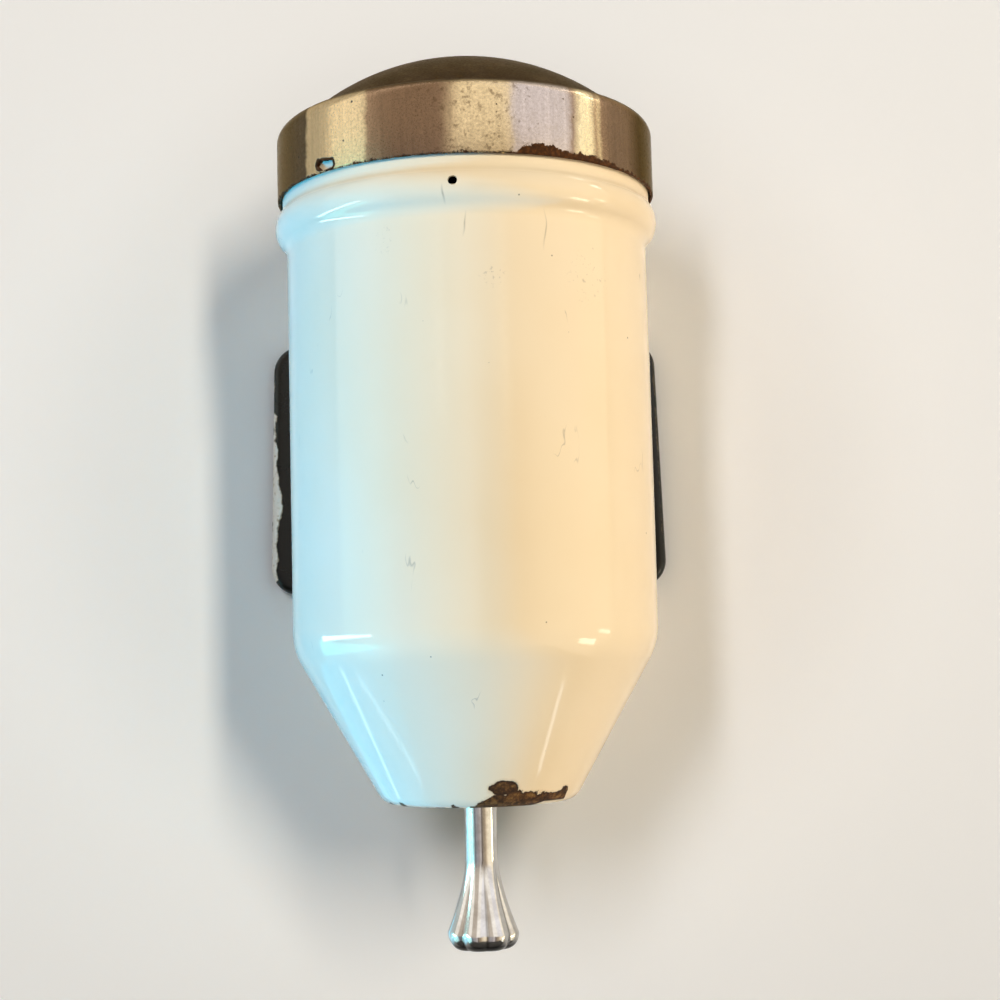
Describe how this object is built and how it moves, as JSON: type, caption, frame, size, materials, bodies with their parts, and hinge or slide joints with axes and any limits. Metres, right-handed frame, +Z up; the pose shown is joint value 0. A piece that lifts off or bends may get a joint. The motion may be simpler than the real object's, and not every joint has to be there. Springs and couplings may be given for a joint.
{
  "type": "wall-mounted powder soap dispenser",
  "caption": "Wall-hung powder soap dispenser: enamelled hopper with conical base, domed slip lid, hook-on wall plate and a spring-returned push-up plunger that opens the outlet.",
  "frame": {"origin": "middle of the wall plate's back rim, on the wall's surface", "axes": "+Z up along the hopper, +Y into the wall, so the front faces -Y and +X is to the right seen from the front"},
  "size_m": [0.1174, 0.1115, 0.2367],
  "materials": {
    "ivory_enamel": "glossy vitreous enamel, lightly worn and chipped",
    "black_enamel": "glossy black enamel, chipped along one edge",
    "aged_nickel": "old nickel plate, dull, pitted and rusted along its edge",
    "chrome": "bright chrome plate",
    "steel": "zinc-plated steel",
    "spring_steel": "drawn spring wire",
    "brass": "turned brass",
    "rubber": "matt black rubber",
    "cork": "pressed cork"
  },
  "bodies": {
    "wall_plate": {"wall_plate": "black_enamel", "plate_hooks": "black_enamel", "hook_rivets": "steel"},
    "hopper": {"hopper_shell": "ivory_enamel", "hanger_strap": "ivory_enamel", "outlet_seat": "brass", "bridge_lugs": "ivory_enamel", "guide_bridge": "steel", "guide_bush": "brass", "bridge_screws": "steel", "bridge_nuts": "steel", "return_spring": "spring_steel"},
    "lid": {"lid_shell": "aged_nickel", "lid_gasket": "cork"},
    "plunger": {"push_knob": "chrome", "spindle": "steel", "valve_washer": "rubber", "valve_disc": "steel", "valve_nut": "brass", "lower_agitator": "steel", "upper_agitator": "steel", "collar_pin": "steel", "spring_collar": "steel", "stop_sleeve": "steel"}
  },
  "joints": [
    {"name": "hopper_lift_off", "type": "slide", "parent": "wall_plate", "child": "hopper", "axis": [0, 0, 1], "range_m": [0, 0.012]},
    {"name": "lid_lift_off", "type": "slide", "parent": "hopper", "child": "lid", "axis": [0, 0, 1], "range_m": [0, 0.04]},
    {"name": "plunger_push", "type": "slide", "parent": "hopper", "child": "plunger", "axis": [0, 0, 1], "range_m": [0, 0.01], "stiffness_N_per_m": 300, "springref_m": -0.012, "deforming": ["return_spring"]}
  ]
}
